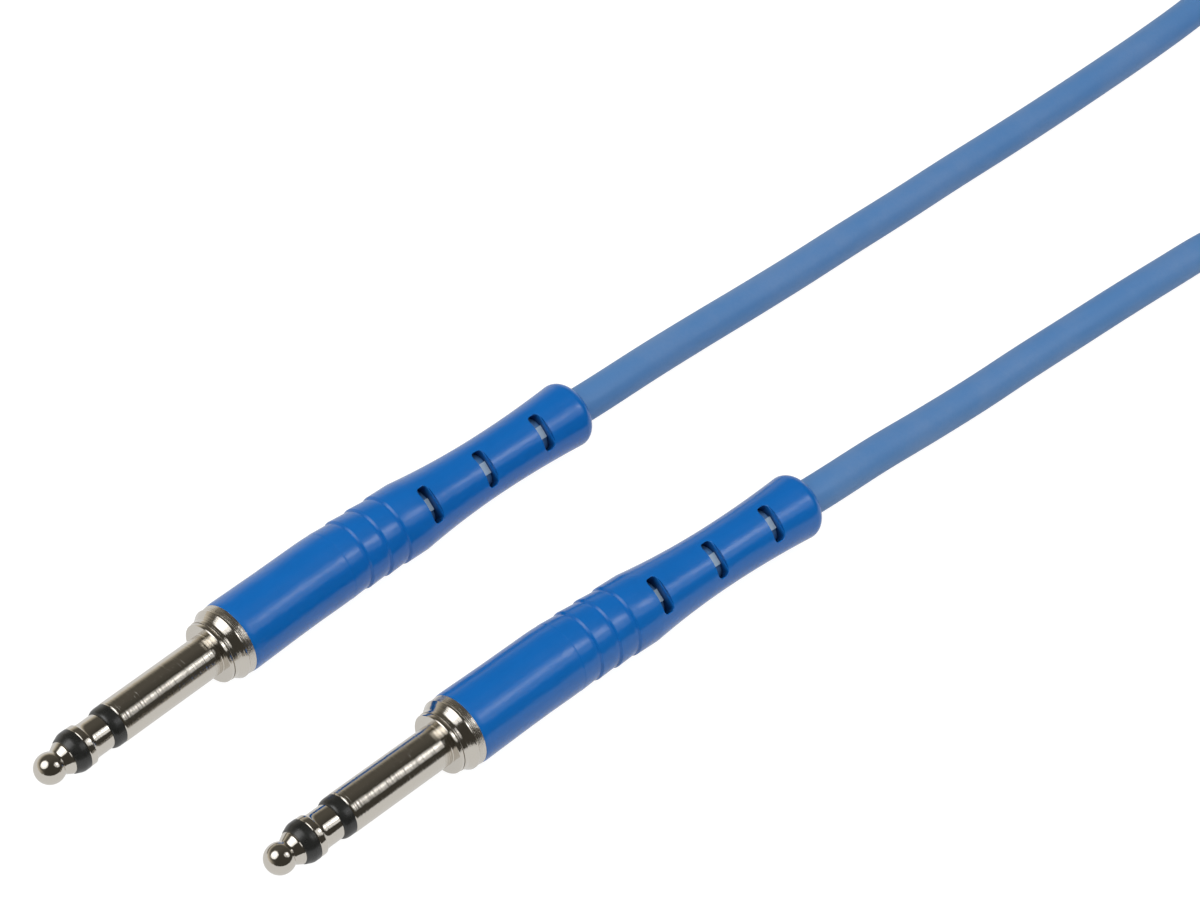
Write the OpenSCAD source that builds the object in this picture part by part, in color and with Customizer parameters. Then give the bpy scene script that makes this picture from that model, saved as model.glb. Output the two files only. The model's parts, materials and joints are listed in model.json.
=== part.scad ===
// Short patch cable: two identical three-contact 4.4 mm plugs on one thin cable.
// Each plug is turned about its own X axis, which starts at the centre of the tip ball
// and runs back to the cable. The two plugs lie side by side on the floor, Z = 0.

/* [Tip] */
// Diameter of the ball at the very front of a plug
ball_d = 3.15; // [2.9:0.05:3.4]
// Diameter of the waist behind the ball
neck_d = 2.65; // [1.8:0.05:2.8]
// Distance from the centre of the ball to the narrowest place of that waist
neck_at = 0.95; // [0.8:0.05:1.1]
// Diameter of the rim that closes the tip contact
rim_d = 3.5; // [3.2:0.1:3.8]
// Distance from the centre of the ball to the back of the rim
tip_l = 1.75; // [1.6:0.05:2.2]
// Diameter of the rod that carries the tip current to the back
rod_d = 1.1; // [0.9:0.05:1.2]

/* [Ring and insulators] */
// Length of the front insulator that shows
front_insulator_l = 1.55; // [1.4:0.05:2.6]
// Diameter of the two insulators
insulator_d = 4.34; // [4.2:0.02:4.4]
// Length of the cone at the front of the front insulator
insulator_cone_l = 0.85; // [0.5:0.05:1.2]
// Length of the ring contact that shows
ring_l = 3.05; // [2:0.05:3.2]
// Diameter of the lip at the front of the ring contact
ring_lip_d = 4.3; // [4.1:0.05:4.4]
// Diameter of the ring contact behind its lip
ring_d = 3.76; // [3.6:0.02:4]
// Length of the lip of the ring contact
ring_lip_l = 0.75; // [0.3:0.05:0.9]
// Length of the hollow fall behind that lip
lip_fall_l = 0.75; // [0.4:0.05:0.9]
// Length of the rear insulator that shows
rear_insulator_l = 1.3; // [1.2:0.05:2.6]
// Length of the rounded shoulder of the rear insulator
shoulder_l = 0.75; // [0.6:0.05:1.2]
// Wall of the two insulating tubes inside the shaft
insulation_wall = 0.35; // [0.3:0.01:0.38]
// Wall of the ring contact's tube inside the shaft
ring_wall = 0.35; // [0.3:0.01:0.38]
// Radial clearance between the tubes that sit in each other
fit_gap = 0.03; // [0.02:0.01:0.04]

/* [Sleeve and collar] */
// Diameter of the shaft that enters the socket
shaft_d = 4.4; // [4.36:0.01:4.6]
// Length of the plain shaft, from the rear insulator to the collar
shaft_l = 12.35; // [8:0.05:18]
// Diameter of the thin front flange
flange_d = 6.5; // [6:0.1:7]
// Thickness of the thin front flange
flange_l = 0.4; // [0.3:0.05:0.6]
// Diameter of the plain band between the two flanges
band_d = 6.6; // [6.5:0.05:7]
// Length of that band
band_l = 0.55; // [0.3:0.05:0.8]
// Diameter of the coned main flange
cone_d = 7.6; // [7.3:0.1:8]
// Length of the coned main flange with its band
cone_l = 1.45; // [1.25:0.05:2]
// Diameter of the step in front of the handle
step_d = 7.54; // [7.3:0.02:7.8]
// Length of the step in front of the handle
step_l = 1.05; // [0.6:0.05:2]
// Length of the stem inside the handle
stem_l = 10; // [9.5:0.1:12]
// Wall of the solder cup at the back of the stem
cup_wall = 0.45; // [0.35:0.05:0.5]
// Length of the solid front of the stem, before the solder cup
cup_from = 1.7; // [1.5:0.1:2]
// Width of the solder window in the stem
window_w = 3; // [2:0.1:3.6]
// Length of the solder window in the stem
window_l = 4.5; // [3:0.1:5]

/* [Handle] */
// Length of the handle
handle_l = 47.15; // [44:0.05:60]
// Diameter of the handle at its front edge
handle_d = 7.84; // [7.7:0.02:8.2]
// Diameter of the handle at the first hollow behind its front edge
hollow_d = 7.68; // [7.6:0.02:7.8]
// Distance from the handle's front edge to that hollow
hollow_at = 7.5; // [5:0.5:9]
// Distance from the handle's front edge to the first of the stepped ridges
ridge_at = 15.75; // [13:0.05:16]
// Distance from one stepped ridge to the next
ridge_pitch = 2.55; // [2:0.05:3]
// Number of stepped ridges
ridge_count = 3; // [2:1:3]
// Diameter at the top of a ridge
ridge_d = 7.76; // [7.7:0.02:8]
// How far a ridge stands over the cone in front of it
ridge_step = 0.14; // [0.05:0.01:0.2]
// Distance from the front edge to where the waist begins
waist_from = 23.6; // [23:0.1:25]
// Distance from the front edge to the narrowest place
waist_at = 35.3; // [33:0.1:38]
// Diameter at the narrowest place
waist_d = 6.4; // [6.2:0.1:7]
// Diameter of the rear end before it is rounded
tail_d = 7.22; // [6.8:0.02:7.6]
// Radius of the rounded rear edge
tail_round = 1.35; // [0.6:0.05:1.4]
// Radial clearance between the stem and the handle
stem_gap = 0.05; // [0.02:0.01:0.08]
// Sideways bend of the handle at its first ridge, in degrees
handle_bend = 3.2; // [0:0.1:5]

/* [Handle slots] */
// Number of slots in each of the two faces
slot_count = 3; // [1:1:3]
// Distance from the front edge to the first slot's middle
slot_at = 24.95; // [24:0.05:26]
// Distance from one slot to the next
slot_pitch = 7.9; // [6:0.05:8.5]
// Width of a slot along the handle
slot_w = 1.3; // [1:0.05:2]
// Length of a slot across the handle
slot_l = 4; // [3.6:0.1:5]
// Height of a slot's floor over the axis of the plug
slot_floor = 0.9; // [0.6:0.1:1.4]
// Width of the rib that parts a slot into two pockets
rib_w = 1.3; // [1:0.05:1.6]
// Height of that rib's top over the axis of the plug
rib_top = 2.45; // [2.4:0.05:2.8]
// Turn of plug A about its axis, which turns its slots away from the top
roll_a = 34; // [0:1:90]
// Turn of plug B about its axis
roll_b = 30; // [0:1:90]

/* [Cable] */
// Diameter of the cable
cord_d = 4; // [3.6:0.1:4.4]
// How much thinner the cable is where the crimp squeezes it
squeeze = 0.1; // [0.08:0.01:0.2]
// Radial clearance between the cable and the handle's bore
cord_gap = 0.1; // [0.05:0.05:0.2]
// Diameter of an insulated core
core_d = 0.9; // [0.7:0.05:0.95]
// Diameter of a core's bare copper end
wire_d = 0.54; // [0.4:0.02:0.56]
// Length of the bare copper end in its solder cup
wire_l = 0.55; // [0.3:0.05:0.6]
// Length of cable that the crimp holds inside the stem
crimp_l = 1.8; // [1.2:0.1:2.5]
// Thickness of the braid folded back over the cable
braid_t = 0.16; // [0.1:0.01:0.18]
// Wall of the crimp ring
crimp_wall = 0.25; // [0.15:0.01:0.3]

/* [Solder lugs] */
// Length of a lug's collar
lug_l = 0.9; // [0.6:0.05:1]
// Diameter of the ring lug's collar
ring_lug_d = 3.8; // [3.4:0.1:4]
// Diameter of the tip lug's collar
tip_lug_d = 1.9; // [1.6:0.05:1.95]
// Diameter of a solder cup
solder_cup_d = 1.2; // [1:0.05:1.24]
// Distance of the ring core from the plug's axis
ring_core_off = 1.5; // [1.45:0.01:1.6]

/* [Layout] */
// Distance across between the centres of the two tips
tip_gap = 21.6; // [16:0.2:30]
// How far the tip of plug B lies behind the tip of plug A
tip_lag = 9.2; // [0:0.2:12]
// Turn of each plug away from the middle line, in degrees
splay = 1.15; // [0:0.05:2]

/* [Coil] */
// Radius of the coil's outermost turn, at the middle of the cable
coil_r = 24.5; // [22:0.1:28]
// Gap between neighbouring turns and between the two layers
turn_gap = 0.45; // [0.42:0.01:0.6]
// Number of turns in the coil
turns = 2.5; // [1.5:1:3.5]

/* [Hidden] */

facets = 96;      // sides that stand for a full circle
edge = 0.1;       // small chamfer on turned edges
lap = 0.4;        // how far the front of the handle and cable runs into their rear at the bend
past = 1;         // how far a cutting tool runs past what it cuts
front_l = 1;      // length of the straight edge at the front of the handle
dip = 0.1;        // how far the cable sinks over its first diameter behind a plug
curve_steps = 6;  // straight steps that stand for a curve in a turned outline

// Stations along a plug, from the centre of its ball
ring_x = tip_l + front_insulator_l;
rear_insulator_x = ring_x + ring_l;
shaft_x = rear_insulator_x + rear_insulator_l;
collar_x = shaft_x + shaft_l;
band_x = collar_x + flange_l;
step_x = band_x + cone_l;
handle_x = step_x + step_l;
stem_end_x = handle_x + stem_l;
cup_x = handle_x + cup_from;
tail_x = handle_x + handle_l;
bend_x = handle_x + ridge_at;
cable_x = stem_end_x - crimp_l;

// Radii of the rod and of the tubes that sit round it, from the middle out
rod_r = rod_d / 2;
front_tube_in = rod_r + fit_gap;
front_tube_out = front_tube_in + insulation_wall;
ring_tube_in = front_tube_out + fit_gap;
ring_tube_out = ring_tube_in + ring_wall;
rear_tube_in = ring_tube_out + fit_gap;
rear_tube_out = rear_tube_in + insulation_wall;
sleeve_bore = rear_tube_out + fit_gap;
cord_r = cord_d / 2;
held_d = cord_d - squeeze;
braid_in = held_d / 2 + fit_gap;
crimp_in = braid_in + braid_t + fit_gap;
crimp_out = crimp_in + crimp_wall;
cup_r = crimp_out + fit_gap;
stem_d = 2 * (cup_r + cup_wall);
ring_r = ring_d / 2;
insulator_r = insulator_d / 2;
ridge_low_d = ridge_d - 2 * ridge_step;

// Where the tubes and the rod end inside the solder cup, one behind the other
tube_step = 0.4;
rear_tube_x = cup_x + tube_step;
ring_lug_x = rear_tube_x + tube_step / 2;
ring_tube_x = ring_lug_x + lug_l + tube_step / 2;
front_tube_x = ring_tube_x + tube_step;
tip_lug_x = front_tube_x + tube_step / 2;
rod_x = tip_lug_x + lug_l;
ring_cup_x = ring_tube_x + tube_step / 4;
ring_cup_end = ring_cup_x + wire_l;
tip_cup_end = rod_x + wire_l;

// Places of the two plugs, with the origin under the middle of their box
axis_h = handle_d / 2;
flex_l = tail_x - bend_x;
a_bent = splay - handle_bend;
b_bent = -splay - handle_bend;
mid_x = (tip_lag + bend_x * cos(splay) + flex_l * cos(b_bent) - ball_d / 2) / 2;
mid_y = (ridge_d / 2 - tail_d / 2 + (flex_l - tail_round) * sin(b_bent)) / 2;
a_at = [-mid_x, tip_gap / 2 - mid_y, axis_h];
b_at = [tip_lag - mid_x, -tip_gap / 2 - mid_y, axis_h];

function along(angle) = [cos(angle), sin(angle), 0];
a_exit = a_at + bend_x * along(splay) + flex_l * along(a_bent);
b_exit = b_at + bend_x * along(-splay) + flex_l * along(b_bent);

// Two layers of the coil: the cable spirals in, climbs a layer in half a turn, and spirals out
coil_at = [162.8, -14];
coil_straight = cord_d;
rings_per_turn = 24;
low_z = cord_r;
turn_pitch = cord_d + turn_gap;
high_z = cord_r + turn_pitch;
function smooth(t) = t < 0 ? 0 : t > 1 ? 1 : t * t * (3 - 2 * t);
function turn_r(u) = coil_r - turn_pitch * (turns / 2 - abs(u - turns / 2));
function turn_z(u) = low_z + turn_pitch * smooth((u - turns / 2) * 2 + 0.5);
function turn_point(u) = [
    coil_at.x + turn_r(u) * sin(360 * u),
    coil_at.y + turn_r(u) * cos(360 * u),
    turn_z(u)
];
coil_in = [coil_at.x - coil_straight, coil_at.y + coil_r, low_z];
coil_out = [coil_at.x - coil_straight, coil_at.y - coil_r, high_z];
turn_points = [for (i = [0 : turns * rings_per_turn]) turn_point(i / rings_per_turn)];
coil_route = concat([coil_in], turn_points, [coil_out]);

// Routes of the two leads, from the plug to the coil. The third number of a point is how
// high the cable is lifted off the floor there.
function laid(route) = [for (p = route) [p.x, p.y, cord_r + p.z]];
a_route = concat(
    [a_exit, a_exit + cord_d * along(a_bent) - [0, 0, dip]],
    laid([
        [43, 11.3, 1.4], [51, 11.3, 0.7], [59, 11.1, 0.2], [67, 10.8, 0], [75, 10.5, 0],
        [84, 10.1, 0], [93, 9.8, 0], [102, 9.4, 0], [111, 9.1, 0], [120, 8.9, 0],
        [130, 8.8, 0], [140, 9, 0], [150, 9.9, 0]
    ]),
    [coil_in]
);
b_route = concat(
    [b_exit, b_exit + cord_d * along(b_bent) - [0, 0, dip]],
    laid([
        [52, -13.5, 1.2], [60, -13.9, 0.4], [68, -14.4, 0], [76, -14.9, 0], [84, -15.5, 0],
        [92, -16.1, 0], [100, -16.8, 0], [107, -17.5, 0], [114, -18.9, 0], [121, -21.4, 0],
        [128, -25, 0], [135, -29.2, 0.2], [142, -33.2, 0.9], [149, -36.5, 2.4], [155, -38.2, 3.9]
    ]),
    [coil_out]
);

// What the sweep and the measurements need
function unit(v) = v / norm(v);
function direction(p, i) = unit(p[min(i + 1, len(p) - 1)] - p[max(i - 1, 0)]);
function ring(at, dir, sides) =
    let (side = unit(cross([0, 0, 1], dir)), up = cross(dir, side))
    [for (k = [0 : sides - 1])
        at + cord_r * (sin(360 * k / sides) * side - cos(360 * k / sides) * up)];
function heading(p, i, first, last) = i == 0 ? first : i == len(p) - 1 ? last : direction(p, i);
function sum(v, i = 0) = i == len(v) ? 0 : v[i] + sum(v, i + 1);
function length_of(p) = sum([for (i = [1 : len(p) - 1]) norm(p[i] - p[i - 1])]);
coil_gaps = [
    for (i = [0 : len(turn_points) - 1])
        for (j = [i + rings_per_turn / 2 : len(turn_points) - 1])
            norm(turn_points[i] - turn_points[j])
];
coil_gap = min(coil_gaps) - cord_d;
cable_l = length_of(a_route) + length_of(coil_route) + length_of(b_route);

echo(coil_gap = coil_gap);
echo(free_cable_length = cable_l);
echo(plugs_at = [a_at, b_at], cable_exits = [a_exit, b_exit]);

// A quarter of an ellipse from radius r0 at station x to radius r1, a length further back
function quarter(r0, r1, x, length) = [
    for (k = [0 : curve_steps])
        let (turn = 90 * k / curve_steps)
        [r0 + (r1 - r0) * sin(turn), x + length * (1 - cos(turn))]
];

// Turns a flat outline, given as [radius, station] points, about a plug's axis
module spun() {
    rotate([0, 90, 0])
        rotate_extrude($fn = facets)
            children();
}

module turned(outline) {
    spun()
        polygon(outline);
}

// A bar or a bore along a plug's axis
module bar(d, from, to, off = 0) {
    translate([from, -off, 0])
        rotate([0, 90, 0])
            cylinder(d = d, h = to - from, $fn = facets);
}

module place_a() {
    translate(a_at)
        rotate([0, 0, splay])
            children();
}

module place_b() {
    translate(b_at)
        rotate([0, 0, -splay])
            children();
}

// The flexible part from the first ridge on is turned a little sideways
module behind_bend() {
    translate([bend_x, 0, 0])
        rotate([0, 0, -handle_bend])
            translate([-bend_x, 0, 0])
                children();
}

module tip_contact() {
    color("silver")
        spun() {
            intersection() {
                circle(d = ball_d, $fn = facets);
                translate([0, -ball_d])
                    square([ball_d, 2 * ball_d]);
            }
            polygon([
                [0, 0], [neck_d / 2, 0], [neck_d / 2, neck_at],
                [rim_d / 2 - edge, tip_l - 3 * edge], [rim_d / 2, tip_l - 2 * edge],
                [rim_d / 2, tip_l], [rod_r, tip_l], [rod_r, rod_x], [0, rod_x]
            ]);
        }
}

module tip_insulator() {
    color("dimgray")
        turned([
            [front_tube_in, tip_l], [rim_d / 2, tip_l],
            [insulator_r - edge, tip_l + insulator_cone_l - edge],
            [insulator_r, tip_l + insulator_cone_l], [insulator_r, ring_x],
            [front_tube_out, ring_x], [front_tube_out, front_tube_x],
            [front_tube_in, front_tube_x]
        ]);
}

module ring_contact() {
    color("silver")
        turned(concat(
            [[ring_tube_in, ring_x], [ring_lip_d / 2 - edge, ring_x], [ring_lip_d / 2, ring_x + edge]],
            quarter(ring_lip_d / 2, ring_r, ring_x + ring_lip_l, lip_fall_l),
            [[ring_r, rear_insulator_x], [ring_tube_out, rear_insulator_x]],
            [[ring_tube_out, ring_tube_x], [ring_tube_in, ring_tube_x]]
        ));
}

module ring_insulator() {
    color("dimgray")
        turned(concat(
            [[rear_tube_in, rear_insulator_x]],
            quarter(ring_r, insulator_r, rear_insulator_x, shoulder_l),
            [[insulator_r, shaft_x], [rear_tube_out, shaft_x]],
            [[rear_tube_out, rear_tube_x], [rear_tube_in, rear_tube_x]]
        ));
}

// Shaft, stepped collar and hollow stem, turned from one bar
module sleeve() {
    color("silver")
        difference() {
            turned(concat(
                [[sleeve_bore, shaft_x], [shaft_d / 2 - edge, shaft_x], [shaft_d / 2, shaft_x + edge]],
                [[shaft_d / 2, collar_x], [flange_d / 2 - edge, collar_x]],
                [[flange_d / 2, collar_x + edge], [flange_d / 2, band_x - edge]],
                [[flange_d / 2 - edge, band_x]],
                [[band_d / 2, band_x], [band_d / 2, band_x + band_l], [cone_d / 2, step_x - 2 * edge]],
                [[cone_d / 2, step_x - edge], [step_d / 2 - edge, step_x], [step_d / 2, step_x + edge]],
                [[step_d / 2, handle_x], [stem_d / 2, handle_x], [stem_d / 2, stem_end_x]],
                [[cup_r, stem_end_x], [cup_r, cup_x], [sleeve_bore, cup_x]]
            ));
            translate([cup_x + 2 * tube_step, -window_w / 2, 0])
                cube([window_l, window_w, stem_d]);
        }
}

module tip_lug() {
    color("goldenrod")
        difference() {
            union() {
                bar(tip_lug_d, tip_lug_x, rod_x);
                bar(solder_cup_d, rod_x, tip_cup_end);
            }
            bar(rod_d + 2 * fit_gap, tip_lug_x - past, rod_x);
            bar(wire_d + 2 * fit_gap, rod_x, tip_cup_end + past);
        }
}

module ring_lug() {
    color("goldenrod")
        difference() {
            union() {
                bar(ring_lug_d, ring_lug_x, ring_lug_x + lug_l);
                bar(solder_cup_d, ring_lug_x, ring_cup_end, ring_core_off);
            }
            bar(2 * (ring_tube_out + fit_gap), ring_lug_x - past, ring_cup_end + past);
            bar(wire_d + 2 * fit_gap, ring_cup_x, ring_cup_end + past, ring_core_off);
        }
}

module tip_core() {
    color("firebrick") {
        bar(core_d, tip_cup_end, cable_x);
        bar(wire_d, tip_cup_end - wire_l, tip_cup_end);
    }
}

module ring_core() {
    color("whitesmoke") {
        bar(core_d, ring_cup_end, cable_x, ring_core_off);
        bar(wire_d, ring_cup_end - wire_l, ring_cup_end, ring_core_off);
    }
}

// Braid of the cable, folded back over its end
module braid() {
    color("peru")
        turned([
            [braid_in, cable_x], [braid_in + braid_t, cable_x],
            [braid_in + braid_t, stem_end_x], [braid_in, stem_end_x]
        ]);
}

module crimp_ring() {
    color("darkgoldenrod")
        turned([
            [crimp_in, cable_x], [crimp_out, cable_x],
            [crimp_out, stem_end_x], [crimp_in, stem_end_x]
        ]);
}

// The cable from the crimp to the end of the handle
module cable_end() {
    color("steelblue") {
        bar(held_d, cable_x, bend_x + lap);
        behind_bend()
            bar(cord_d, bend_x, tail_x);
    }
}

// The waist is two parabolas that meet at the narrowest place
waist_rise = (ridge_d - waist_d) / 2;
tail_rise = (tail_d - waist_d) / 2;
flare_x = tail_x - tail_round;
function waist_front(t) =
    [waist_d / 2 + waist_rise * (1 - t) * (1 - t), handle_x + waist_from + t * (waist_at - waist_from)];
function waist_back(t) =
    [waist_d / 2 + tail_rise * t * t, handle_x + waist_at + t * (flare_x - handle_x - waist_at)];
function ridge(i) = [
    [ridge_low_d / 2, bend_x + i * ridge_pitch - edge / 2],
    [ridge_d / 2, bend_x + i * ridge_pitch]
];
grip_outline = concat(
    [[0, bend_x], [ridge_d / 2, bend_x]],
    [for (i = [1 : ridge_count - 1]) each ridge(i)],
    [for (k = [0 : curve_steps]) waist_front(k / curve_steps)],
    [for (k = [1 : curve_steps]) waist_back(k / curve_steps)],
    [[0, flare_x]]
);

// Cuts one slot with round ends. A low rib across its middle leaves two deep pockets
module slot() {
    difference() {
        translate([0, 0, slot_floor])
            linear_extrude(height = handle_d) {
                square([slot_w, slot_l - slot_w], center = true);
                for (end = [-1, 1])
                    translate([0, end * (slot_l - slot_w) / 2])
                        circle(d = slot_w, $fn = facets / 2);
            }
        translate([0, 0, rib_top / 2])
            cube([2 * slot_w, rib_w, rib_top], center = true);
    }
}

module slots(roll) {
    for (face = [0, 180])
        rotate([roll + face, 0, 0])
            for (i = [0 : slot_count - 1])
                translate([handle_x + slot_at + i * slot_pitch, 0, 0])
                    slot();
}

// Soft moulded handle: a straight front over the stem and a waisted, slotted, flexible rear
module handle(roll) {
    color("royalblue")
        difference() {
            union() {
                turned([
                    [0, handle_x], [handle_d / 2 - edge, handle_x],
                    [handle_d / 2, handle_x + edge], [handle_d / 2, handle_x + front_l],
                    [hollow_d / 2, handle_x + hollow_at], [ridge_d / 2, bend_x - ridge_pitch],
                    [ridge_low_d / 2, bend_x], [ridge_low_d / 2, bend_x + lap], [0, bend_x + lap]
                ]);
                behind_bend() {
                    turned(grip_outline);
                    spun()
                        tail_outline();
                }
            }
            bar(stem_d + 2 * stem_gap, handle_x - past, stem_end_x + stem_gap);
            bar(cord_d + 4 * cord_gap, handle_x, bend_x + lap);
            behind_bend() {
                bar(cord_d + 2 * cord_gap, bend_x, tail_x + past);
                slots(roll);
            }
        }
}

// The rounded rear end of the handle
module tail_outline() {
    translate([0, flare_x])
        square([tail_d / 2 - tail_round, tail_round]);
    intersection() {
        translate([tail_d / 2 - tail_round, flare_x])
            circle(r = tail_round, $fn = facets);
        translate([0, flare_x])
            square([tail_d, tail_round]);
    }
}

// A tube swept along a route, with square ends that face along first and last
module tube(route, sides, first, last) {
    rings = [for (i = [0 : len(route) - 1]) ring(route[i], heading(route, i, first, last), sides)];
    count = len(route);
    polyhedron(
        points = [for (r = rings) each r],
        faces = concat(
            [[for (k = [0 : sides - 1]) k]],
            [[for (k = [0 : sides - 1]) count * sides - 1 - k]],
            [for (i = [0 : count - 2]) for (k = [0 : sides - 1])
                let (n = (k + 1) % sides)
                each [
                    [i * sides + k, (i + 1) * sides + k, i * sides + n],
                    [i * sides + n, (i + 1) * sides + k, (i + 1) * sides + n]
                ]]
        )
    );
}

module lead_a() {
    color("steelblue")
        tube(a_route, 10, along(a_bent), [1, 0, 0]);
}

module lead_b() {
    color("steelblue")
        tube(b_route, 10, along(b_bent), [1, 0, 0]);
}

module coil() {
    color("steelblue")
        tube(coil_route, 6, [1, 0, 0], [-1, 0, 0]);
}

place_a() tip_contact();  // a_tip_contact
place_a() tip_insulator();  // a_tip_insulator
place_a() ring_contact();  // a_ring_contact
place_a() ring_insulator();  // a_ring_insulator
place_a() sleeve();  // a_sleeve
place_a() tip_lug();  // a_tip_lug
place_a() ring_lug();  // a_ring_lug
place_a() tip_core();  // a_tip_core
place_a() ring_core();  // a_ring_core
place_a() braid();  // a_braid
place_a() crimp_ring();  // a_crimp_ring
place_a() cable_end();  // a_cable_end
place_a() handle(roll_a);  // a_handle
place_b() tip_contact();  // b_tip_contact
place_b() tip_insulator();  // b_tip_insulator
place_b() ring_contact();  // b_ring_contact
place_b() ring_insulator();  // b_ring_insulator
place_b() sleeve();  // b_sleeve
place_b() tip_lug();  // b_tip_lug
place_b() ring_lug();  // b_ring_lug
place_b() tip_core();  // b_tip_core
place_b() ring_core();  // b_ring_core
place_b() braid();  // b_braid
place_b() crimp_ring();  // b_crimp_ring
place_b() cable_end();  // b_cable_end
place_b() handle(roll_b);  // b_handle
lead_a();
coil();
lead_b();
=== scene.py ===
"""Dresses a short patch cable: two miniature three-contact plugs on one thin cord."""

import json
import math

import bmesh
import bpy
from bpy.props import FloatProperty, FloatVectorProperty, IntProperty, PointerProperty
from bpy.types import Operator, Panel, PropertyGroup
from mathutils import Matrix, Vector


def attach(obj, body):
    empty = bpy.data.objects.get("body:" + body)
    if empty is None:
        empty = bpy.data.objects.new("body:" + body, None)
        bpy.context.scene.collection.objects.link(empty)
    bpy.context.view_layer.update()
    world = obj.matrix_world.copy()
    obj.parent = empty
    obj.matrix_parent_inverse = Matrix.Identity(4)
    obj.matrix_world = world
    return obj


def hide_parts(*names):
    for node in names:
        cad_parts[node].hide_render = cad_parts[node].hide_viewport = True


bl_info = {
    "name": "Patch Cable",
    "version": (1, 0, 0),
    "blender": (4, 5, 0),
    "location": "View3D > Sidebar > Patch Cable",
    "description": "Builds a short patch cable with two miniature three-contact plugs",
    "category": "Add Mesh",
}

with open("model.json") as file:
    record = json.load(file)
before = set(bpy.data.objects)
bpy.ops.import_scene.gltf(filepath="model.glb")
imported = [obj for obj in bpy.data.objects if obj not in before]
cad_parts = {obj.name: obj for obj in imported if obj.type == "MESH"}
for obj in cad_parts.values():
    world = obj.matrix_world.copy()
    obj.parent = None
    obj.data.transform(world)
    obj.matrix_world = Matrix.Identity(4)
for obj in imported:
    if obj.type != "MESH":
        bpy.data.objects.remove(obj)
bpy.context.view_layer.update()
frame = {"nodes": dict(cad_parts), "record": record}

MM = 0.001
BODY = "root"
PLUGS = ("a", "b")
TURNED_SIDES = 128
# Edges that turn by more than this look sharp
SHARP_ANGLE = math.radians(32)
# Where the mount of a plug's shaft lies, behind the centre of the plug's ball
MOUNT_STATION = 13.55 * MM
# Points of the cord's route in each turn of the coil
TURN_POINTS = 24
# Distance between the rings of the cord
CORD_SPACING = 1.2 * MM
# How far a cutting tool runs past what it cuts, and its height over the axis
CUT_PAST = 0.01 * MM
CUT_TOP = 5 * MM
# Points of a turned outline that are closer than this become one
SAME_POINT = 0.0002 * MM


def length(default, name, description):
    """A size property, given in millimetres."""
    return FloatProperty(
        name=name, description=description, default=default * MM, unit="LENGTH", precision=5
    )


def angle(default, name, description):
    """An angle property, given in degrees."""
    return FloatProperty(
        name=name, description=description, default=math.radians(default), subtype="ANGLE"
    )


def spot(default, name, description):
    """A place property, given in metres."""
    return FloatVectorProperty(
        name=name, description=description, default=default, subtype="TRANSLATION"
    )


def count(default, name, description):
    return IntProperty(name=name, description=description, default=default, min=1, max=3)


def number(default, name, description):
    return FloatProperty(name=name, description=description, default=default)


def colour(default, name, description):
    return FloatVectorProperty(
        name=name, description=description, default=default, size=3, min=0, max=1, subtype="COLOR"
    )


def amount(default, name, description):
    return FloatProperty(name=name, description=description, default=default, min=0, max=1)


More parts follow.
